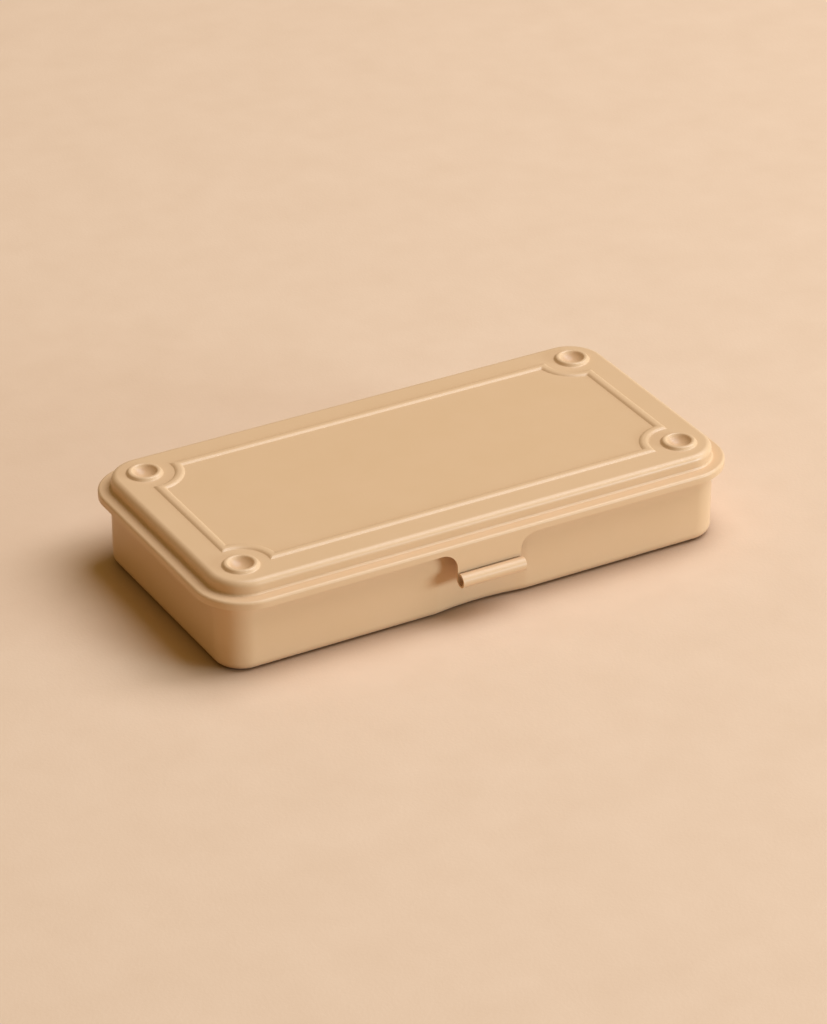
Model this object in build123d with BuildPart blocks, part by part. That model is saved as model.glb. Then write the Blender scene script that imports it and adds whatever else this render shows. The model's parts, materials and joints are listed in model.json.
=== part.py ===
from build123d import *
import math
import os

# A pressed-steel box with a hinged lid. Millimetres, +Z up, front at -Y.
# The origin is the middle of the base, on the surface that the box stands on.

# Sheet of both pressings
sheet = 0.7
bend_radius = 0.3

# Body tray
body_length = 193.0
body_width = 94.0
body_height = 28.2
body_corner_radius = 10.5
floor_bend_radius = 2.8
rim_roll_radius = 1.75
rim_roll_sweep = 295.0

# Finger hollow in the front wall
hollow_depth = 1.45
hollow_width = 34.0
hollow_edge_radius = 12.0

# Lid
rest_gap = 0.3
skirt_gap = 1.5
skirt_depth = 2.85
corner_easing = 2.0
step_inset = 4.6
step_rise = 5.05
step_foot_radius = 0.8
plateau_bend_radius = 1.5

# Raised border bead on the lid
bead_width = 3.2
bead_height = 0.5
bead_flank_angle = 34.0
bead_arc_radius = 12.0
bead_crest_radius = 2.0
bead_foot_radius = 0.4

# Stacking rings on the lid, and the seats under the body that they enter
ring_inset = 16.5
ring_radius = 6.4
ring_height = 1.1
ring_flank_angle = 52.0
ring_bend_radius = 0.15
ring_foot_radius = 0.5
bowl_mouth_radius = 4.45
bowl_depth = 2.0
bowl_bend_radius = 0.3
seat_gap = 0.6
seat_headroom = 0.3
seat_roof_bend_radius = 0.4

# Lift tab at the front of the lid
tab_width = 24.5
tab_root_radius = 6.0
tab_drop = 10.1
tab_roll_radius = 2.45
tab_roll_sweep = 303.0

# Hinges
hinge_spacing = 120.0
hinge_width = 30.0
knuckle_width = 10.0
knuckle_end_gap = 0.4
knuckle_root_radius = 1.0
lid_knuckle_sweep = 290.0
pin_radius = 1.0
pin_overhang = 0.5
pin_end_chamfer = 0.25
pin_running_gap = 0.05
pin_tight_gap = 0.01
leaf_sheet = 0.8
leaf_height = 12.0
leaf_bend_radius = 0.6
leaf_corner_radius = 1.5
leaf_knuckle_sweep = 275.0
rim_to_knuckle_gap = 0.3
slot_depth = 3.8
stop_angle = 110.0
stop_gap = 0.3
stop_length = 3.0
rivet_spacing = 18.0
rivet_edge_distance = 4.0
rivet_radius = 1.2
rivet_hole_gap = 0.02
rivet_head_radius = 2.3
rivet_head_height = 0.9
rivet_tail_radius = 2.0
rivet_tail_height = 0.6

# How closely an edge or a face is found by its size or place
tolerance = 0.001

# Lid places, worked out from the body and the gaps
lid_overhang = 2 * rim_roll_radius + skirt_gap
lid_length = body_length + 2 * lid_overhang
lid_width = body_width + 2 * lid_overhang
lid_corner_radius = body_corner_radius + lid_overhang + corner_easing
flange_top = body_height + rest_gap + sheet
skirt_bottom = flange_top - skirt_depth
lid_top = flange_top + step_rise
ring_x = lid_length / 2 - ring_inset
ring_y = lid_width / 2 - ring_inset
ring_places = [(x, y) for x in (-ring_x, ring_x) for y in (-ring_y, ring_y)]

# Tab and hinge places
skirt_face_y = lid_width / 2
tab_axis_y = -skirt_face_y + sheet - tab_roll_radius
tab_axis_z = skirt_bottom - tab_drop
wall_face_y = body_width / 2
rim_axis_z = body_height - rim_roll_radius
lid_knuckle_radius = pin_radius + pin_running_gap + sheet
leaf_knuckle_radius = pin_radius + pin_tight_gap + leaf_sheet
hinge_axis_y = skirt_face_y - lid_knuckle_radius
hinge_axis_z = body_height - 2 * rim_roll_radius - rim_to_knuckle_gap - leaf_knuckle_radius
leaf_back = wall_face_y - hinge_axis_y
leaf_front = leaf_back + leaf_sheet
leaf_bottom = hinge_axis_z - leaf_height
rivet_z = leaf_bottom + rivet_edge_distance
hinge_sides = {"left": -hinge_spacing / 2, "right": hinge_spacing / 2}


def rivet_columns(middle):
    return [middle - rivet_spacing / 2, middle + rivet_spacing / 2]


def cross_plane(x, y, z):
    # A plane across the box: its own x runs to the back (+Y), its own y runs up (+Z).
    return Plane(origin=(x, y, z), x_dir=(0, 1, 0), z_dir=(1, 0, 0))


def rolled_edge(plane, outer, thickness, start, sweep_angle):
    # Section of a sheet edge rolled round the plane's origin.
    with BuildSketch(plane) as section:
        with BuildLine():
            outside = CenterArc((0, 0), outer, start, sweep_angle)
            inside = CenterArc((0, 0), outer - thickness, start, sweep_angle)
            Line(outside @ 0, inside @ 0)
            Line(outside @ 1, inside @ 1)
        make_face()
    return section.sketch


def flat_faces(part, height):
    # The level faces at a height, the smallest first.
    level = part.faces().filter_by(Plane.XY)
    return level.filter_by_position(Axis.Z, height - tolerance, height + tolerance).sort_by(SortBy.AREA)


def longest_hole(face):
    return max(face.inner_wires(), key=lambda wire: wire.length).edges()


def circles_of_radius(part, radius):
    circles = part.edges().filter_by(GeomType.CIRCLE)
    return [edge for edge in circles if abs(edge.radius - radius) < tolerance]


def body_outline(inward):
    # Outline of the tray seen from above, with the finger hollow in its front side.
    half_chord = hollow_width / 2
    hollow_radius = (half_chord**2 + hollow_depth**2) / (2 * hollow_depth)
    with BuildSketch() as outline:
        RectangleRounded(body_length, body_width, body_corner_radius)
        with Locations((0, -wall_face_y - hollow_radius + hollow_depth)):
            Circle(hollow_radius, mode=Mode.SUBTRACT)
        corners = outline.vertices()
        hollow_corners = [corner for corner in corners if abs(abs(corner.X) - half_chord) < tolerance]
        fillet(hollow_corners, radius=hollow_edge_radius)
        if inward:
            offset(amount=-inward, mode=Mode.REPLACE)
    return outline.sketch


def tray_form(inward):
    # Solid bounded by the tray's outer face, or by its inner face a sheet further in.
    seat_depth = ring_height + seat_headroom
    seat_flank = math.radians(ring_flank_angle)
    seat_radius = ring_radius + seat_gap + inward * math.tan(seat_flank / 2)
    seat_roof_radius = seat_radius - seat_depth / math.tan(seat_flank)
    with BuildPart() as form:
        with BuildSketch(Plane.XY.offset(inward)):
            add(body_outline(inward))
        extrude(amount=rim_axis_z - inward)
        fillet(form.faces().sort_by(Axis.Z)[0].edges(), radius=floor_bend_radius + sheet - inward)
        with Locations(*[(x, y, inward) for x, y in ring_places]):
            Cone(
                seat_radius,
                seat_roof_radius,
                seat_depth,
                align=(Align.CENTER, Align.CENTER, Align.MIN),
                mode=Mode.SUBTRACT,
            )
        fillet(circles_of_radius(form, seat_roof_radius), radius=seat_roof_bend_radius + inward)
        fillet(circles_of_radius(form, seat_radius), radius=bend_radius + sheet - inward)
    return form.part


def rim_roll():
    # The tray's top edge, rolled outwards all the way round.
    path = body_outline(0).moved(Location((0, 0, rim_axis_z))).wires()[0]
    with BuildPart() as roll:
        section_plane = cross_plane(0, wall_face_y + rim_roll_radius - sheet, rim_axis_z)
        sweep(rolled_edge(section_plane, rim_roll_radius, sheet, 180, -rim_roll_sweep), path=path)
    return roll.part


def border_bead(inward, height):
    # A raised bead on a thin pad: a rectangle's edge, hollowed round each stacking ring.
    half_width = bead_width / 2 - inward * math.tan(math.radians(bead_flank_angle) / 2)
    pad_margin = half_width + 3 * bead_foot_radius
    with BuildSketch() as centreline:
        Rectangle(2 * ring_x, 2 * ring_y)
        with Locations(*ring_places):
            Circle(bead_arc_radius, mode=Mode.SUBTRACT)
    border = centreline.sketch
    inner_edge = offset(border, amount=-half_width, kind=Kind.INTERSECTION, mode=Mode.PRIVATE)
    outer_edge = offset(border, amount=half_width, kind=Kind.INTERSECTION, mode=Mode.PRIVATE)
    pad_edge = offset(border, amount=pad_margin, kind=Kind.INTERSECTION, mode=Mode.PRIVATE)
    with BuildPart() as bead:
        with BuildSketch(Plane.XY.offset(height)):
            add(pad_edge)
        extrude(amount=-sheet)
        with BuildSketch(Plane.XY.offset(height)):
            add(outer_edge)
            add(inner_edge, mode=Mode.SUBTRACT)
        extrude(amount=bead_height, taper=90 - bead_flank_angle)
        fillet(flat_faces(bead, height + bead_height)[0].edges(), radius=bead_crest_radius - inward)
        panel, surround = sorted(flat_faces(bead, height), key=lambda face: len(face.inner_wires()))
        fillet(panel.edges() + longest_hole(surround), radius=bead_foot_radius + inward)
    return bead.part


def lid_form(inward, bottom):
    # Solid bounded by the lid's outer face, or by its inner face a sheet further in.
    step = step_inset + inward
    flange = flange_top - inward
    top = lid_top - inward
    ring_flank = math.radians(ring_flank_angle)
    foot_radius = ring_radius - inward * math.tan(ring_flank / 2)
    crest_radius = foot_radius - ring_height / math.tan(ring_flank)
    bowl_radius = (bowl_mouth_radius**2 + bowl_depth**2) / (2 * bowl_depth)
    bowl_centre_z = lid_top + ring_height - bowl_depth + bowl_radius
    mouth_radius = math.sqrt((bowl_radius + inward) ** 2 - (bowl_centre_z - top - ring_height) ** 2)
    bead = border_bead(inward, top)
    with BuildPart() as form:
        with BuildSketch(Plane.XY.offset(bottom)):
            RectangleRounded(lid_length - 2 * inward, lid_width - 2 * inward, lid_corner_radius - inward)
        extrude(amount=flange - bottom)
        fillet(flat_faces(form, flange)[0].edges(), radius=bend_radius + sheet - inward)
        with BuildSketch(Plane.XY.offset(flange)):
            RectangleRounded(lid_length - 2 * step, lid_width - 2 * step, lid_corner_radius - step)
        extrude(amount=top - flange)
        fillet(flat_faces(form, top)[0].edges(), radius=plateau_bend_radius + sheet - inward)
        fillet(longest_hole(flat_faces(form, flange)[0]), radius=step_foot_radius + inward)
        with Locations(*[(x, y, top) for x, y in ring_places]):
            Cone(foot_radius, crest_radius, ring_height, align=(Align.CENTER, Align.CENTER, Align.MIN))
        with Locations(*[(x, y, bowl_centre_z) for x, y in ring_places]):
            Sphere(bowl_radius + inward, mode=Mode.SUBTRACT)
        fillet(circles_of_radius(form, mouth_radius), radius=bowl_bend_radius + sheet - inward)
        fillet(circles_of_radius(form, crest_radius), radius=ring_bend_radius + sheet - inward)
        fillet(circles_of_radius(form, foot_radius), radius=ring_foot_radius + inward)
        add(bead)
    return form.part


def hanging_strip(width, root_radius, low):
    # Plan of a strip that hangs from the skirt, with hollow corners at its root.
    root_width = width + 2 * root_radius
    root_top = flange_top - sheet - bend_radius
    with BuildSketch() as strip:
        with Locations((0, low)):
            Rectangle(width, root_top - low, align=(Align.CENTER, Align.MIN))
        with Locations((0, skirt_bottom - root_radius)):
            Rectangle(root_width, root_top - skirt_bottom + root_radius, align=(Align.CENTER, Align.MIN))
        with Locations(*[(side * root_width / 2, skirt_bottom - root_radius) for side in (-1, 1)]):
            Circle(root_radius, mode=Mode.SUBTRACT)
    return strip.sketch


# Body: tray, rolled rim and rivet holes for the hinge leaves
tray_outside = tray_form(0)
tray_inside = tray_form(sheet)
rim = rim_roll()
with BuildPart() as body_shell:
    add(tray_outside)
    add(tray_inside, mode=Mode.SUBTRACT)
    add(rim)
    for middle in hinge_sides.values():
        with BuildSketch(Plane.XZ.offset(-wall_face_y)):
            with Locations(*[(x, rivet_z) for x in rivet_columns(middle)]):
                Circle(rivet_radius + rivet_hole_gap)
        extrude(amount=sheet, mode=Mode.SUBTRACT)

# Lid: pressed shell, lift tab with its outward roll, and the knuckles at the back
lid_outside = lid_form(0, skirt_bottom)
lid_inside = lid_form(sheet, skirt_bottom - sheet)
with BuildPart() as lid_shell:
    add(lid_outside)
    add(lid_inside, mode=Mode.SUBTRACT)
    with BuildSketch(Plane.XZ.offset(skirt_face_y)):
        add(hanging_strip(tab_width, tab_root_radius, tab_axis_z))
    extrude(amount=-sheet)
    tab_plane = cross_plane(0, tab_axis_y, tab_axis_z)
    tab_section = rolled_edge(tab_plane, tab_roll_radius, sheet, 0, -tab_roll_sweep)
    extrude(tab_section, amount=tab_width / 2, both=True)
    for middle in hinge_sides.values():
        with BuildSketch(Plane.XZ.offset(-skirt_face_y)):
            with Locations((middle, 0)):
                add(hanging_strip(knuckle_width, knuckle_root_radius, hinge_axis_z))
        extrude(amount=sheet)
        knuckle_plane = cross_plane(middle, hinge_axis_y, hinge_axis_z)
        knuckle_section = rolled_edge(knuckle_plane, lid_knuckle_radius, sheet, 0, -lid_knuckle_sweep)
        extrude(knuckle_section, amount=knuckle_width / 2, both=True)


def bent_sheet(plane, points):
    # Section of a sheet with one bend: the third point is its inside, the last its outside.
    with BuildSketch(plane) as section:
        with BuildLine():
            Polyline(*points, close=True)
        make_face()
        inside = section.vertices().sort_by_distance((*points[2], 0))[0]
        outside = section.vertices().sort_by_distance((*points[-1], 0))[0]
        fillet(inside, radius=leaf_bend_radius)
        fillet(outside, radius=leaf_bend_radius + leaf_sheet)
    return section.sketch


def knuckle_arm(plane):
    # From the plate straight out to the underside of a knuckle.
    run_bottom = -leaf_knuckle_radius
    run_top = run_bottom + leaf_sheet
    points = [
        (leaf_back, -slot_depth - leaf_sheet),
        (leaf_front, -slot_depth - leaf_sheet),
        (leaf_front, run_bottom),
        (0, run_bottom),
        (0, run_top),
        (leaf_back, run_top),
    ]
    return bent_sheet(plane, points)


def stop_tongue(plane):
    # From the plate out to where the lid's strip lands when the lid is fully open.
    tilt = math.radians(stop_angle - 90)
    upper_drop = lid_knuckle_radius + stop_gap
    lower_drop = upper_drop + leaf_sheet

    def on_face(drop, along):
        out = along * math.cos(tilt) - drop * math.sin(tilt)
        up = -along * math.sin(tilt) - drop * math.cos(tilt)
        return (out, up)

    def face_at(drop, across):
        return on_face(drop, (across + drop * math.sin(tilt)) / math.cos(tilt))

    points = [
        (leaf_back, -slot_depth - leaf_sheet),
        (leaf_front, -slot_depth - leaf_sheet),
        face_at(lower_drop, leaf_front),
        on_face(lower_drop, stop_length),
        on_face(upper_drop, stop_length),
        face_at(upper_drop, leaf_back),
    ]
    return bent_sheet(plane, points)


def hinge_leaf(middle):
    # A plate on the back wall, two rolled knuckles, and a stop tongue between them.
    plane = cross_plane(middle, hinge_axis_y, hinge_axis_z)
    slot_half_width = knuckle_width / 2 + knuckle_end_gap
    arm_width = hinge_width / 2 - slot_half_width
    with BuildPart() as leaf:
        with BuildSketch(Plane.XZ.offset(-wall_face_y)) as plate:
            with Locations((middle, leaf_bottom)):
                Rectangle(hinge_width, leaf_height - slot_depth, align=(Align.CENTER, Align.MIN))
            fillet(plate.vertices().group_by(Axis.Y)[0], radius=leaf_corner_radius)
            with Locations(*[(x, rivet_z) for x in rivet_columns(middle)]):
                Circle(rivet_radius + rivet_hole_gap, mode=Mode.SUBTRACT)
        extrude(amount=-leaf_sheet)
        extrude(stop_tongue(plane), amount=knuckle_width / 2, both=True)
        for side in (-1, 1):
            arm_middle = middle + side * (slot_half_width + arm_width / 2)
            arm_plane = cross_plane(arm_middle, hinge_axis_y, hinge_axis_z)
            extrude(knuckle_arm(arm_plane), amount=arm_width / 2, both=True)
            knuckle = rolled_edge(arm_plane, leaf_knuckle_radius, leaf_sheet, -90, leaf_knuckle_sweep)
            extrude(knuckle, amount=arm_width / 2, both=True)
    return leaf.part


def hinge_pin(middle):
    length = hinge_width + 2 * pin_overhang
    with BuildPart() as pin:
        with BuildSketch(cross_plane(middle, hinge_axis_y, hinge_axis_z)):
            Circle(pin_radius)
        extrude(amount=length / 2, both=True)
        chamfer(pin.edges().filter_by(GeomType.CIRCLE), length=pin_end_chamfer)
    return pin.part


def rivet(x):
    # Domed head on the leaf, flat tail inside the tray.
    leaf_side = leaf_sheet
    tray_side = -sheet
    with BuildPart() as body:
        with BuildSketch(cross_plane(x, wall_face_y, rivet_z)):
            with BuildLine():
                dome = TangentArc(
                    (leaf_side + rivet_head_height, 0), (leaf_side, rivet_head_radius), tangent=(0, 1)
                )
                Polyline(
                    dome @ 1,
                    (leaf_side, rivet_radius),
                    (tray_side, rivet_radius),
                    (tray_side, rivet_tail_radius),
                    (tray_side - rivet_tail_height, rivet_tail_radius),
                    (tray_side - rivet_tail_height, 0),
                    dome @ 0,
                )
            make_face()
        revolve(axis=Axis((x, wall_face_y, rivet_z), (0, 1, 0)))
    return body.part


def keep(part, name):
    part.label = name
    export_step(part, f"parts/{name}.step")


os.makedirs("parts", exist_ok=True)
keep(body_shell.part, "body_shell")
keep(lid_shell.part, "lid_shell")
for side_name, middle in hinge_sides.items():
    keep(hinge_leaf(middle), f"hinge_leaf_{side_name}")
    keep(hinge_pin(middle), f"hinge_pin_{side_name}")
    keep(Compound(children=[rivet(x) for x in rivet_columns(middle)]), f"hinge_rivets_{side_name}")
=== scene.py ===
import json
import math

import bmesh
import bpy
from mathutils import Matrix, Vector


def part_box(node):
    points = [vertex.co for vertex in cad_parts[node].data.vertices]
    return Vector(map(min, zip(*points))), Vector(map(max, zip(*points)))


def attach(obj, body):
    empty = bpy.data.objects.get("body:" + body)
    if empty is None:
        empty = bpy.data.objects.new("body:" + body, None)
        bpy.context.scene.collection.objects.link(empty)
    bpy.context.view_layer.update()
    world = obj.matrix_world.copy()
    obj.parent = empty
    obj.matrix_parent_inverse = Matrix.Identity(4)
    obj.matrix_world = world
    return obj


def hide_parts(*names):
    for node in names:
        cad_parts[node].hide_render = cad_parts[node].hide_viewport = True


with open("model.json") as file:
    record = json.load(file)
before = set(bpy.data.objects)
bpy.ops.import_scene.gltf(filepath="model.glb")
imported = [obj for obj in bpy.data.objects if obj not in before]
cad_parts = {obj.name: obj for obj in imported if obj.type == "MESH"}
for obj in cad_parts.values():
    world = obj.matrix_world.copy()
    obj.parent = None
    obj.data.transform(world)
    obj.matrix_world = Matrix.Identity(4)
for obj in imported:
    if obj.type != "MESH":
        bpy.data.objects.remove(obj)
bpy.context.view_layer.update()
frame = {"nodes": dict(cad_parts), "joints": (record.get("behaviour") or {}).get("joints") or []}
print("frame loaded:", len(frame["nodes"]), "nodes")

mm = 0.001

# what both pressings share, in millimetres unless a comment says otherwise
pressing = {
    "sheet": 0.7,
    "cutEdgeRound": 0.3,       # enamel softens the cut edges
    "cutEdgeSteps": 4,
    "cutEdgeAngle": 60.0,      # degrees: only the cut edges of the sheet turn as sharply
    "bendStep": 9.0,           # degrees between two rows round a bend
    "leastBendSteps": 2,
    "cornerSteps": 24,         # round a quarter turn, seen from above
    "leastArcSteps": 3,
    "hold": 0.12,              # a row this close to each bend keeps the flats flat
    "fineHold": 0.06,          # the same round the small pressed forms
    "cornerHold": 0.48,        # the same beyond each end of a corner or a hollow
    "flatMargin": 0.3,         # flat kept inside the rim of a large flat
    "formMargin": 0.6,         # flat kept round a small pressed form
}

lidBox = [Vector(corner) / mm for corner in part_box("lid_shell")]
trayBox = [Vector(corner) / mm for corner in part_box("body_shell")]
hingeAxis = Vector(frame["joints"][0]["pos_m"]) / mm

# front right, back right, back left, front left, counterclockwise
cornerSigns = ((1, -1), (1, 1), (-1, 1), (-1, -1))


def roundedSection(corners, hold):
    # corners are (along, height, bend radius); the result is a list of (along, height)
    section = []
    for index, (along, height, radius) in enumerate(corners):
        point = Vector((along, height))
        if radius == 0:
            section.append(point)
            continue
        back = (Vector(corners[index - 1][:2]) - point).normalized()
        ahead = (Vector(corners[index + 1][:2]) - point).normalized()
        turn = math.pi - back.angle(ahead)
        reach = radius * math.tan(turn / 2)
        centre = point + (back + ahead).normalized() * (radius / math.cos(turn / 2))
        start, end = point + back * reach, point + ahead * reach
        steps = max(pressing["leastBendSteps"], round(math.degrees(turn) / pressing["bendStep"]))
        section.append(start + back * hold)
        for step in range(steps + 1):
            section.append(centre + radius * (start - centre).slerp(end - centre, step / steps))
        section.append(end + ahead * hold)
    return section


def curl(side, radius, sweep):
    # a sheet edge rolled round: (outward, forward) from where the roll starts
    steps = round(sweep / pressing["bendStep"])
    angles = [math.radians(sweep * step / steps) for step in range(1, steps + 1)]
    return [(side * radius * (1 - math.cos(a)), radius * math.sin(a)) for a in angles]


def arcRun(arcs):
    # one tangent run of (centreX, centreY, radius, from, to); a hollow arc has a negative radius
    run = []
    for centreX, centreY, radius, fromAngle, toAngle in arcs:
        quarterTurns = abs(toAngle - fromAngle) / 90
        steps = max(pressing["leastArcSteps"], round(quarterTurns * pressing["cornerSteps"]))
        for step in range(steps + 1):
            angle = math.radians(fromAngle + (toAngle - fromAngle) * step / steps)
            normal = Vector((math.cos(angle), math.sin(angle)))
            if run and step == 0:
                continue
            run.append((Vector((centreX, centreY)) + radius * normal, normal))
    return run


def held(run, hold):
    # adds a point beyond each end of a run, so that the straights beside it stay straight
    (first, firstNormal), (last, lastNormal) = run[0], run[-1]
    before = first - hold * Vector((-firstNormal.y, firstNormal.x))
    after = last + hold * Vector((-lastNormal.y, lastNormal.x))
    return [(before, firstNormal), *run, (after, lastNormal)]


def cornerRuns(halfX, halfY, radius):
    # the four rounded corners of a rectangle, in the order of cornerSigns
    runs = []
    for turn, (signX, signY) in enumerate(cornerSigns):
        centre = (signX * (halfX - radius), signY * (halfY - radius))
        start = 90 * (turn - 1)
        runs.append(held(arcRun([(*centre, radius, start, start + 90)]), pressing["cornerHold"]))
    return runs


def inset(outline, inward, height):
    # the outline moved inwards by some millimetres, at one height
    return [(*(point - inward * normal), height) for point, normal in outline]


def addRow(bm, points):
    return [bm.verts.new(Vector(point) * mm) for point in points]


def bridge(bm, lower, upper, closed=True):
    # faces between two rows with as many points; an open strip isn't joined round
    count = len(lower) if closed else len(lower) - 1
    for i in range(count):
        j = (i + 1) % len(lower)
        bm.faces.new((lower[i], lower[j], upper[j], upper[i]))


def addRows(bm, rows):
    # closed rows of points, each joined to the one before it
    made = [addRow(bm, row) for row in rows]
    for lower, upper in zip(made, made[1:]):
        bridge(bm, lower, upper)
    return made


def fillFlat(bm, *loops):
    # flat sheet between closed rows of vertices
    edges = []
    for loop in loops:
        for start, end in zip(loop, loop[1:] + loop[:1]):
            edges.append(bm.edges.get((start, end)) or bm.edges.new((start, end)))
    bmesh.ops.triangle_fill(bm, use_beauty=True, edges=edges)


def circle(centre, radius, height, steps):
    angles = [2 * math.pi * step / steps for step in range(steps)]
    return [(centre[0] + radius * math.cos(a), centre[1] + radius * math.sin(a), height) for a in angles]


def addDisc(bm, centre, section, steps):
    # a round pressed form from its rim inwards; returns its outermost row
    rows = addRows(bm, [circle(centre, radius, height, steps) for radius, height in section])
    fillFlat(bm, rows[-1])
    return rows[0]


def finishSheet(bm, name, outerSide):
    # turns the open skin into sheet metal with softened cut edges; outerSide is 1 where the
    # highest face of the skin looks out of the box, and -1 where the lowest one does
    bmesh.ops.recalc_face_normals(bm, faces=bm.faces)
    probe = max(bm.faces, key=lambda face: outerSide * face.calc_center_median().z)
    if probe.normal.z * outerSide < 0:
        bmesh.ops.reverse_faces(bm, faces=bm.faces)
    mesh = bpy.data.meshes.new(name)
    bm.to_mesh(mesh)
    bm.free()
    for polygon in mesh.polygons:
        polygon.use_smooth = True
    piece = bpy.data.objects.new(name, mesh)
    bpy.context.scene.collection.objects.link(piece)
    thickness = piece.modifiers.new("sheet", "SOLIDIFY")
    thickness.thickness = pressing["sheet"] * mm
    thickness.offset = -1
    thickness.use_even_offset = True
    edge = piece.modifiers.new("cut edge", "BEVEL")
    edge.width = pressing["cutEdgeRound"] * mm
    edge.segments = pressing["cutEdgeSteps"]
    edge.limit_method = "ANGLE"
    edge.angle_limit = math.radians(pressing["cutEdgeAngle"])
    edge.harden_normals = True
    return piece


lidForm = {
    "cornerRadius": 17.5,
    "skirtDepth": 2.85,
    "stepInset": 4.6,
    "stepRise": 5.05,
    "edgeBend": 1.0,
    "stepFoot": 0.8,
    "panelBend": 2.2,
}
stackingRing = {
    "inset": 16.5,
    "radius": 6.4,
    "height": 1.1,
    "flankAngle": 52.0,
    "foot": 0.5,
    "crest": 0.85,
    "bowlMouth": 4.45,
    "bowlDepth": 2.6,
    "mouthBend": 0.8,
    "steps": 64,               # round the ring
    "bowlSteps": 12,           # from the bowl's mouth to its middle
    "mouthFineness": 1.5,      # rows round the mouth, against those round any other bend
}
borderBead = {
    "width": 3.5,
    "height": 0.6,
    "flankAngle": 36.0,
    "arcRadius": 12.0,
    "crest": 2.0,
    "foot": 0.4,
    "mitreHold": 0.35,
    "arcSteps": 20,
}
liftTab = {"width": 24.5, "rootRadius": 6.0, "drop": 10.1, "rollRadius": 2.45, "sweep": 303.0}
lidKnuckle = {"width": 10.0, "rootRadius": 1.0, "rollRadius": 1.75, "sweep": 290.0, "spacing": 120.0}
skirtStrip = {
    "rootStepsPerMm": 2,       # round the hollow root of a strip, for each millimetre of its radius
    "leastRootSteps": 4,
    "onEdge": 0.001,           # a place this close to a strip's edge counts as on it
}

ringX = lidBox[1].x - stackingRing["inset"]
ringY = lidBox[1].y - stackingRing["inset"]
ringTop = lidBox[1].z
panelTop = ringTop - stackingRing["height"]
flangeTop = panelTop - lidForm["stepRise"]
skirtBottom = flangeTop - lidForm["skirtDepth"]
ringPlaces = [(x, y) for x in (-ringX, ringX) for y in (-ringY, ringY)]


def stripColumns(middle, strip):
    # places along the skirt, and how far the strip's hollow root reaches below the skirt there
    radius, side = strip["rootRadius"], strip["width"] / 2
    steps = max(skirtStrip["leastRootSteps"], round(radius * skirtStrip["rootStepsPerMm"]))
    columns = []
    for step in range(steps + 1):
        angle = math.radians(90 * step / steps)
        columns.append((side + radius * (1 - math.sin(angle)), radius * (1 - math.cos(angle))))
    left = [(middle - reach, drop) for reach, drop in columns]
    right = [(middle + reach, drop) for reach, drop in reversed(columns)]
    return left + right


def addStrip(bm, row, columns, middle, strip, axisZ, side, facing):
    # the strip below a row of the skirt: straight down, then rolled round its axis; the skin is
    # the sheet's outer face, so a roll that turns outwards is smaller by the sheet
    reach = strip["width"] / 2 + skirtStrip["onEdge"]
    inStrip = [vert for vert, (x, drop) in zip(row, columns) if abs(x - middle) < reach]
    radius = strip["rollRadius"] - (pressing["sheet"] if side > 0 else 0)
    face = inStrip[0].co.y / mm
    xs = [vert.co.x / mm for vert in inStrip]
    path = [(0, axisZ + pressing["hold"]), (0, axisZ)]
    path += [(outward, axisZ - down) for outward, down in curl(side, radius, strip["sweep"])]
    rows = [addRow(bm, [(x, face + facing * outward, z) for x in xs]) for outward, z in path]
    for lower, upper in zip([inStrip] + rows, rows):
        bridge(bm, lower, upper, closed=False)


def ringSection():
    # (radius, height) from the flat round a ring, over its crest and down into the bowl
    ring = stackingRing
    crestRadius = ring["radius"] - ring["height"] / math.tan(math.radians(ring["flankAngle"]))
    bowlRadius = (ring["bowlMouth"] ** 2 + ring["bowlDepth"] ** 2) / (2 * ring["bowlDepth"])
    bend = ring["mouthBend"]
    centreDrop = bowlRadius - ring["bowlDepth"] + bend
    bendCentre = math.sqrt((bowlRadius + bend) ** 2 - centreDrop ** 2)
    bowlAngle = math.degrees(math.asin(bendCentre / (bowlRadius + bend)))
    section = roundedSection([
        (ring["radius"] + pressing["formMargin"], 0, 0),
        (ring["radius"], 0, ring["foot"]),
        (crestRadius, ring["height"], ring["crest"]),
        (bendCentre, ring["height"], 0),
    ], pressing["fineHold"])
    steps = round(bowlAngle / pressing["bendStep"] * ring["mouthFineness"])
    for step in range(1, steps + 1):
        angle = math.radians(bowlAngle * step / steps)
        rise = bend * math.cos(angle) - bend
        section.append((bendCentre - bend * math.sin(angle), ring["height"] + rise))
    bowlCentre = ring["height"] - ring["bowlDepth"] + bowlRadius
    for step in range(ring["bowlSteps"] - 1, 0, -1):
        angle = math.radians(bowlAngle * step / ring["bowlSteps"])
        section.append((bowlRadius * math.sin(angle), bowlCentre - bowlRadius * math.cos(angle)))
    return [(radius, panelTop + height) for radius, height in section]


def beadOutline(inward):
    # a rectangle hollowed round each ring; both lines stop where they meet in the mitre
    outline = []
    radius = borderBead["arcRadius"] + inward
    mitre = math.degrees(math.asin(inward / radius))
    for turn, (signX, signY) in enumerate(cornerSigns):
        arrival = 90 * (turn - 1)
        centre = Vector((signX * ringX, signY * ringY))
        arc = []
        for step in range(borderBead["arcSteps"] + 1):
            share = step / borderBead["arcSteps"]
            angle = math.radians(arrival + 90 - mitre + (2 * mitre - 90) * share)
            arc.append(centre - radius * Vector((math.cos(angle), math.sin(angle))))
        a, b = math.radians(arrival), math.radians(arrival + 90)
        before = arc[0] - borderBead["mitreHold"] * Vector((-math.sin(a), math.cos(a)))
        after = arc[-1] + borderBead["mitreHold"] * Vector((-math.sin(b), math.cos(b)))
        outline += [before, *arc, after]
    return outline


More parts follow.
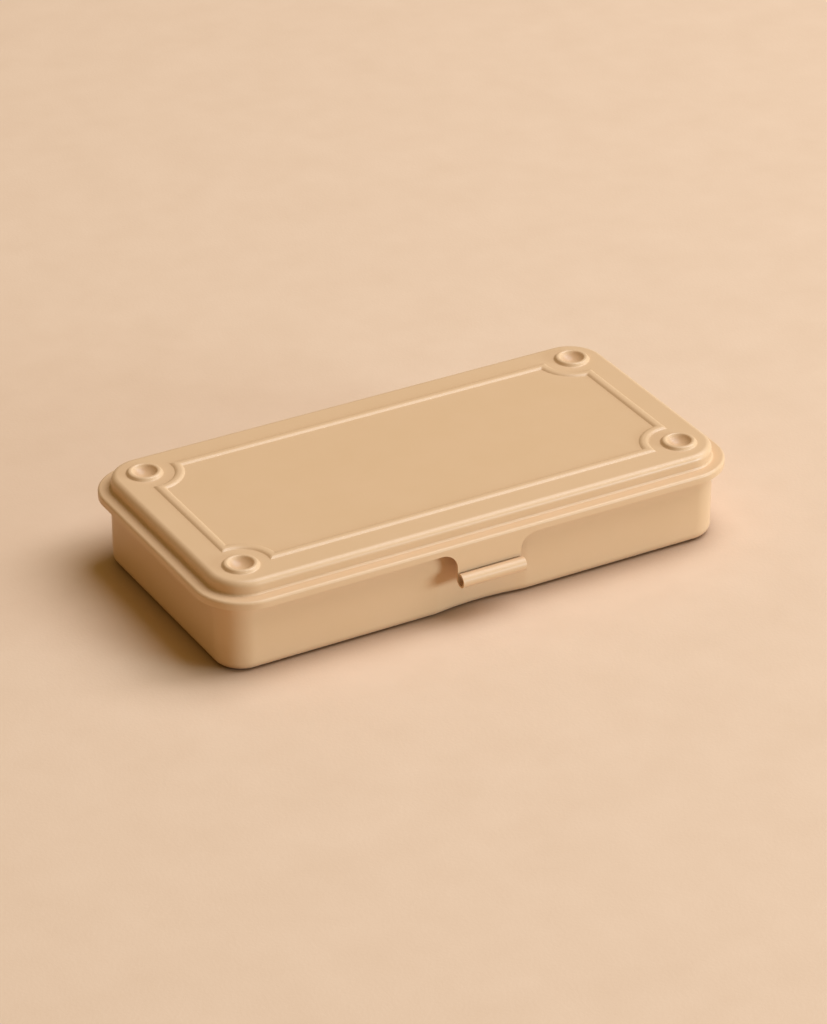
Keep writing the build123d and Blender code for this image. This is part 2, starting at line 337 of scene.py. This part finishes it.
def beadSection():
    # (inward, height) across the border bead, from its outer foot to its inner one
    bead = borderBead
    half = bead["width"] / 2
    run = bead["height"] / math.tan(math.radians(bead["flankAngle"]))
    margin = half + pressing["formMargin"]
    return roundedSection([
        (-margin, 0, 0),
        (-half, 0, bead["foot"]),
        (run - half, bead["height"], bead["crest"]),
        (half - run, bead["height"], bead["crest"]),
        (half, 0, bead["foot"]),
        (margin, 0, 0),
    ], pressing["fineHold"])


def makeLid():
    bm = bmesh.new()
    halfX, halfY = lidBox[1].x, lidBox[1].y
    tabColumns = stripColumns(0, liftTab)
    knuckleMiddles = (-lidKnuckle["spacing"] / 2, lidKnuckle["spacing"] / 2)
    knuckleColumns = {middle: stripColumns(middle, lidKnuckle) for middle in knuckleMiddles}
    corners = cornerRuns(halfX, halfY, lidForm["cornerRadius"])
    front = [(Vector((x, -halfY)), Vector((0, -1))) for x, drop in tabColumns]
    back = []
    backDrops = []
    for middle in reversed(knuckleMiddles):
        for x, drop in reversed(knuckleColumns[middle]):
            back.append((Vector((x, halfY)), Vector((0, 1))))
            backDrops.append(drop)
    outline = front + corners[0] + corners[1] + back + corners[2] + corners[3]
    drops = [drop for x, drop in tabColumns] + [0] * len(corners[0] + corners[1])
    drops += backDrops + [0] * len(corners[2] + corners[3])

    section = roundedSection([
        (0, skirtBottom, 0),
        (0, flangeTop, lidForm["edgeBend"]),
        (lidForm["stepInset"], flangeTop, lidForm["stepFoot"]),
        (lidForm["stepInset"], panelTop, lidForm["panelBend"]),
        (lidForm["stepInset"] + lidForm["panelBend"] + pressing["flatMargin"], panelTop, 0),
    ], pressing["hold"])
    rows = [inset(outline, inward, height) for inward, height in section]
    rows[0] = [(x, y, z - drop) for (x, y, z), drop in zip(rows[0], drops)]
    made = addRows(bm, rows)

    tabAxis = skirtBottom - liftTab["drop"]
    addStrip(bm, made[0][:len(front)], tabColumns, 0, liftTab, tabAxis, 1, -1)
    start = len(front) + len(corners[0] + corners[1])
    for middle in reversed(knuckleMiddles):
        columns = list(reversed(knuckleColumns[middle]))
        row = made[0][start:start + len(columns)]
        addStrip(bm, row, columns, middle, lidKnuckle, hingeAxis.z, -1, 1)
        start += len(columns)

    ringRims = [addDisc(bm, place, ringSection(), stackingRing["steps"]) for place in ringPlaces]
    beadRows = []
    for inward, height in beadSection():
        beadRows.append(addRow(bm, [(*point, panelTop + height) for point in beadOutline(inward)]))
    for outer, inner in zip(beadRows, beadRows[1:]):
        bridge(bm, outer, inner)
    fillFlat(bm, made[-1], beadRows[0], *ringRims)
    fillFlat(bm, beadRows[-1])
    lid = finishSheet(bm, "enamelled_lid", 1)
    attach(lid, "lid")
    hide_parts("lid_shell")
    print("lid pressed:", len(lid.data.polygons), "faces")
    return lid


trayForm = {
    "cornerRadius": 10.5,
    "floorBend": 3.5,
    "rimRoll": 1.75,
    "rimSweep": 295.0,
}
fingerHollow = {"width": 34.0, "depth": 1.45, "edgeRadius": 12.0}
stackingSeat = {"gap": 0.6, "headroom": 0.3, "mouthBend": 1.0, "roofBend": 0.4}

rimReach = 2 * trayForm["rimRoll"] - pressing["sheet"]
wallX = trayBox[1].x - rimReach
wallY = -trayBox[0].y - rimReach


def hollowRun():
    # the shallow hollow behind the lift tab: a long arc with a softened edge at each end
    hollow = fingerHollow
    half = hollow["width"] / 2
    radius = (half ** 2 + hollow["depth"] ** 2) / (2 * hollow["depth"])
    front = -wallY
    centreY = front - radius + hollow["depth"]
    edge = hollow["edgeRadius"]
    reach = math.sqrt((radius + edge) ** 2 - (front + edge - centreY) ** 2)
    turn = math.degrees(math.asin(reach / (radius + edge)))
    return held(arcRun([
        (-reach, front + edge, edge, -90, -90 + turn),
        (0, centreY, -radius, -90 + turn, -90 - turn),
        (reach, front + edge, edge, -90 - turn, -90),
    ]), pressing["cornerHold"])


def makeTray():
    bm = bmesh.new()
    corners = cornerRuns(wallX, wallY, trayForm["cornerRadius"])
    outline = hollowRun() + corners[0] + corners[1] + corners[2] + corners[3]
    rollRadius = trayForm["rimRoll"] - pressing["sheet"]
    rimAxis = trayBox[1].z - trayForm["rimRoll"]
    section = roundedSection([
        (trayForm["floorBend"] + pressing["flatMargin"], 0, 0),
        (0, 0, trayForm["floorBend"]),
        (0, rimAxis - pressing["hold"], 0),
    ], pressing["hold"])
    section.append((0, rimAxis))
    section += [(-outward, rimAxis + up) for outward, up in curl(1, rollRadius, trayForm["rimSweep"])]
    made = addRows(bm, [inset(outline, inward, height) for inward, height in section])

    depth = stackingRing["height"] + stackingSeat["headroom"]
    seatRadius = stackingRing["radius"] + stackingSeat["gap"]
    roofRadius = seatRadius - depth / math.tan(math.radians(stackingRing["flankAngle"]))
    seatSection = roundedSection([
        (seatRadius + pressing["formMargin"], 0, 0),
        (seatRadius, 0, stackingSeat["mouthBend"]),
        (roofRadius, depth, stackingSeat["roofBend"]),
        (roofRadius - pressing["formMargin"], depth, 0),
    ], pressing["fineHold"])
    seatRims = [addDisc(bm, place, seatSection, stackingRing["steps"]) for place in ringPlaces]
    fillFlat(bm, made[0], *seatRims)
    tray = finishSheet(bm, "enamelled_tray", -1)
    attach(tray, "tray")
    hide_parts("body_shell")
    print("tray pressed:", len(tray.data.polygons), "faces")
    return tray


# the sockets of a Mix node that mixes colours, which share their names with its other sockets
mixFirst, mixSecond, mixResult = 6, 7, 2


def linear(hexColour):
    # sRGB hex to linear
    channels = [int(hexColour[i:i + 2], 16) / 255 for i in (1, 3, 5)]
    return (*[c / 12.92 if c <= 0.04045 else ((c + 0.055) / 1.055) ** 2.4 for c in channels], 1)


def perMm(size):
    # texture scale that repeats a pattern every so many millimetres
    return 1 / (size * mm)


def addNode(tree, kind, settings=None, inputs=None):
    # inputs maps a socket to a value or to the output socket that feeds it
    node = tree.nodes.new(kind)
    for name, value in (settings or {}).items():
        setattr(node, name, value)
    for name, value in (inputs or {}).items():
        if isinstance(value, bpy.types.NodeSocket):
            tree.links.new(value, node.inputs[name])
        else:
            node.inputs[name].default_value = value
    return node


def newMaterial(name):
    material = bpy.data.materials.new(name)
    material.use_nodes = True
    material.node_tree.nodes.clear()
    return material, material.node_tree


bakedEnamel = {
    "colour": "#D6AE83",
    "paleColour": "#DAB289",
    "mottleMm": 14.0,
    "mottleDetail": 3.0,
    "mottleRoughness": 0.55,
    "roughness": 0.34,
    "specular": 0.3,
    "peelMm": 1.1,
    "peelDetail": 1.0,
    "peelDepthMm": 0.004,
    "waveMm": 34.0,            # the sheet is never quite flat after pressing
    "waveDetail": 0.0,
    "waveDepthMm": 0.05,
    # painted shade: a darker colour laid into the tight recesses of each piece
    "paintedShadeColour": "#7A5228",
    "paintedShadeReachMm": 3.0,
    "paintedShadeSamples": 8,
    "paintedShadeDeepest": 0.15,        # share of open sky at which the painted shade in a recess is darkest
    "paintedShadeClear": 0.62,       # share of open sky from which on no painted shade is laid
}


def makeBakedEnamel():
    # baked enamel sprayed on pressed steel: an even satin skin, a faint orange peel that
    # breaks up the highlights, and painted shade, a darker tone laid into the tight recesses of each
    # piece
    settings = bakedEnamel
    material, tree = newMaterial("baked enamel on steel")
    place = addNode(tree, "ShaderNodeTexCoord").outputs["Object"]
    mottle = addNode(tree, "ShaderNodeTexNoise", inputs={
        "Vector": place, "Scale": perMm(settings["mottleMm"]),
        "Detail": settings["mottleDetail"], "Roughness": settings["mottleRoughness"]})
    colour = addNode(tree, "ShaderNodeMix", {"data_type": "RGBA"}, {
        "Factor": mottle.outputs["Fac"],
        mixFirst: linear(settings["colour"]), mixSecond: linear(settings["paleColour"])})
    # painted shade: the enamel's colour darkens where its own piece hides the sky within a short reach
    openness = addNode(
        tree, "ShaderNodeAmbientOcclusion",
        {"samples": settings["paintedShadeSamples"], "only_local": True},
        {"Distance": settings["paintedShadeReachMm"] * mm})
    unshaded = addNode(tree, "ShaderNodeMapRange", inputs={
        "Value": openness.outputs["AO"],
        "From Min": settings["paintedShadeDeepest"], "From Max": settings["paintedShadeClear"]})
    skin = addNode(tree, "ShaderNodeMix", {"data_type": "RGBA"}, {
        "Factor": unshaded.outputs["Result"],
        mixFirst: linear(settings["paintedShadeColour"]), mixSecond: colour.outputs[mixResult]})
    wave = addNode(tree, "ShaderNodeTexNoise", inputs={
        "Vector": place, "Scale": perMm(settings["waveMm"]), "Detail": settings["waveDetail"]})
    waveBump = addNode(tree, "ShaderNodeBump", inputs={
        "Height": wave.outputs["Fac"], "Distance": settings["waveDepthMm"] * mm})
    peel = addNode(tree, "ShaderNodeTexNoise", inputs={
        "Vector": place, "Scale": perMm(settings["peelMm"]), "Detail": settings["peelDetail"]})
    peelBump = addNode(tree, "ShaderNodeBump", inputs={
        "Height": peel.outputs["Fac"], "Distance": settings["peelDepthMm"] * mm,
        "Normal": waveBump.outputs["Normal"]})
    surface = addNode(tree, "ShaderNodeBsdfPrincipled", inputs={
        "Base Color": skin.outputs[mixResult], "Roughness": settings["roughness"],
        "Specular IOR Level": settings["specular"], "Normal": peelBump.outputs["Normal"]})
    addNode(tree, "ShaderNodeOutputMaterial", inputs={"Surface": surface.outputs["BSDF"]})
    return material


platedSteel = {
    "colour": "#B9B6AE",
    "roughness": 0.34,
    "markMm": 0.3,             # drawing marks are finer, and are drawn coarser so that they show
    "markLength": 20.0,        # times as long as they are wide
    "markDetail": 2.0,
    "markDepthMm": 0.006,
}


def makePlatedSteel():
    # zinc plated drawn wire: a dull bright metal with fine marks along it
    settings = platedSteel
    material, tree = newMaterial("zinc plated steel wire")
    place = addNode(tree, "ShaderNodeTexCoord").outputs["Object"]
    along = addNode(tree, "ShaderNodeMapping", inputs={
        "Vector": place, "Scale": (1 / settings["markLength"], 1, 1)})
    marks = addNode(tree, "ShaderNodeTexNoise", inputs={
        "Vector": along.outputs["Vector"], "Scale": perMm(settings["markMm"]),
        "Detail": settings["markDetail"]})
    bump = addNode(tree, "ShaderNodeBump", inputs={
        "Height": marks.outputs["Fac"], "Distance": settings["markDepthMm"] * mm})
    surface = addNode(tree, "ShaderNodeBsdfPrincipled", inputs={
        "Base Color": linear(settings["colour"]), "Metallic": 1.0,
        "Roughness": settings["roughness"], "Normal": bump.outputs["Normal"]})
    addNode(tree, "ShaderNodeOutputMaterial", inputs={"Surface": surface.outputs["BSDF"]})
    return material


def dress(piece, material):
    piece.data.materials.clear()
    piece.data.materials.append(material)


lid = makeLid()
tray = makeTray()
enamel = makeBakedEnamel()
steel = makePlatedSteel()
for piece in (lid, tray):
    dress(piece, enamel)
for name, node in frame["nodes"].items():
    node.data.materials[0] = steel if "pin" in name else enamel
print("materials laid on")


studio = {
    "worldColour": "#FFE08C",
    "worldStrength": 0.265,
}
studioPaper = {
    "colour": "#DBB999",
    "paleColour": "#E4C3A4",
    "size": 6.0,               # metres
    "grainMm": 1.2,            # the fibres are finer, and are drawn coarser so that they show
    "grainDetail": 2.0,
    "grainDepthMm": 0.04,
    "mottleMm": 22.0,
    "mottleDetail": 4.0,
    "mottleRoughness": 0.6,
    "roughness": 0.9,
    "specular": 0.2,
    # painted contact shadow: a warm brown laid on the paper close to whatever stands on it
    "paintedContactShadeColour": "#8E6C50",
    "paintedContactShadeReachMm": 12.0,
    "paintedContactShadeSamples": 8,
    "paintedContactShadeDeepest": 0.05,       # share of open sky at which the painted contact shade is deepest
    "paintedContactShadeClear": 0.95,      # share of open sky from which on the paper is clear of it
}
# turn is round +Z from +X and rise above the floor, in degrees; the rest is in metres and watts
softbox = {
    "turn": -10.0, "rise": 62.0, "away": 3.2, "wide": 3.2, "tall": 3.2,
    "power": 121.0, "colour": "#E4EEFF",
}
stripLight = {
    "turn": -17.0, "rise": 41.0, "away": 3.2, "wide": 0.7, "tall": 2.6,
    "power": 22.0, "colour": "#E4EEFF",
}
reflector = {
    "turn": -50.0, "rise": 9.0, "away": 3.2, "wide": 1.4, "tall": 0.8,
    "power": 78.0, "colour": "#C6E7FF",
}


def makeStudioPaper():
    # uncoated paper: matte, with a fine fibre grain, a faint cloudiness, and painted shade, warm and
    # deep, laid close to whatever stands on it
    settings = studioPaper
    material, tree = newMaterial("uncoated studio paper")
    place = addNode(tree, "ShaderNodeTexCoord").outputs["Object"]
    cloud = addNode(tree, "ShaderNodeTexNoise", inputs={
        "Vector": place, "Scale": perMm(settings["mottleMm"]),
        "Detail": settings["mottleDetail"], "Roughness": settings["mottleRoughness"]})
    colour = addNode(tree, "ShaderNodeMix", {"data_type": "RGBA"}, {
        "Factor": cloud.outputs["Fac"],
        mixFirst: linear(settings["colour"]), mixSecond: linear(settings["paleColour"])})
    # painted contact shadow: the paper's colour darkens where the box hides the sky within the reach
    openness = addNode(
        tree, "ShaderNodeAmbientOcclusion",
        {"samples": settings["paintedContactShadeSamples"]},
        {"Distance": settings["paintedContactShadeReachMm"] * mm})
    clear = addNode(tree, "ShaderNodeMapRange", inputs={
        "Value": openness.outputs["AO"],
        "From Min": settings["paintedContactShadeDeepest"], "From Max": settings["paintedContactShadeClear"]})
    shaded = addNode(tree, "ShaderNodeMix", {"data_type": "RGBA"}, {
        "Factor": clear.outputs["Result"],
        mixFirst: linear(settings["paintedContactShadeColour"]), mixSecond: colour.outputs[mixResult]})
    fibre = addNode(tree, "ShaderNodeTexNoise", inputs={
        "Vector": place, "Scale": perMm(settings["grainMm"]), "Detail": settings["grainDetail"]})
    bump = addNode(tree, "ShaderNodeBump", inputs={
        "Height": fibre.outputs["Fac"], "Distance": settings["grainDepthMm"] * mm})
    surface = addNode(tree, "ShaderNodeBsdfPrincipled", inputs={
        "Base Color": shaded.outputs[mixResult], "Roughness": settings["roughness"],
        "Specular IOR Level": settings["specular"], "Normal": bump.outputs["Normal"]})
    addNode(tree, "ShaderNodeOutputMaterial", inputs={"Surface": surface.outputs["BSDF"]})
    return material


def makeStage():
    mesh = bpy.data.meshes.new("paper_floor")
    half = studioPaper["size"] / 2
    corners = [(-half, -half, 0), (half, -half, 0), (half, half, 0), (-half, half, 0)]
    mesh.from_pydata(corners, [], [(0, 1, 2, 3)])
    mesh.materials.append(makeStudioPaper())
    paper = bpy.data.objects.new("paper_floor", mesh)
    bpy.context.scene.collection.objects.link(paper)


def makeWorld():
    world = bpy.data.worlds.new("studio")
    world.use_nodes = True
    background = world.node_tree.nodes["Background"]
    background.inputs["Color"].default_value = linear(studio["worldColour"])
    background.inputs["Strength"].default_value = studio["worldStrength"]
    bpy.context.scene.world = world


def addSoftLight(name, light):
    # an area light that faces the box
    turn, rise = math.radians(light["turn"]), math.radians(light["rise"])
    away = Vector((math.cos(turn) * math.cos(rise), math.sin(turn) * math.cos(rise), math.sin(rise)))
    lamp = bpy.data.lights.new(name, "AREA")
    lamp.shape = "ELLIPSE"
    lamp.size = light["wide"]
    lamp.size_y = light["tall"]
    lamp.energy = light["power"]
    lamp.color = linear(light["colour"])[:3]
    holder = bpy.data.objects.new(name, lamp)
    holder.location = away * light["away"]
    holder.rotation_euler = away.to_track_quat("Z", "Y").to_euler()
    bpy.context.scene.collection.objects.link(holder)


# azimuth is round +Z from -Y and elevation above the floor, in degrees; lens and sensor are in
# millimetres, and the rest is in metres
view = {
    "azimuth": -29.447,
    "elevation": 29.711,
    "distance": 1.4711,
    "lens": 150.22,
    "sensor": 36.0,
    "aimHeight": 0.020,
    "aimRight": 0.00007,
    "aimUp": -0.006306,
}


def makeCamera():
    turn, rise = math.radians(view["azimuth"]), math.radians(view["elevation"])
    back = Vector((math.sin(turn) * math.cos(rise), -math.cos(turn) * math.cos(rise), math.sin(rise)))
    right = Vector((math.cos(turn), math.sin(turn), 0))
    up = Vector((-math.sin(turn) * math.sin(rise), math.cos(turn) * math.sin(rise), math.cos(rise)))
    camera = bpy.data.objects.new("camera", bpy.data.cameras.new("camera"))
    camera.data.lens = view["lens"]
    camera.data.sensor_width = view["sensor"]
    target = Vector((0, 0, view["aimHeight"])) + right * view["aimRight"] + up * view["aimUp"]
    camera.location = target + back * view["distance"]
    camera.rotation_euler = back.to_track_quat("Z", "Y").to_euler()
    bpy.context.scene.collection.objects.link(camera)
    bpy.context.scene.camera = camera


makeStage()
print("paper floor laid")
makeWorld()
addSoftLight("softbox", softbox)
addSoftLight("strip light", stripLight)
addSoftLight("reflector", reflector)
print("lights set")
makeCamera()
bpy.context.scene.view_settings.view_transform = "Standard"

print("scene ready")
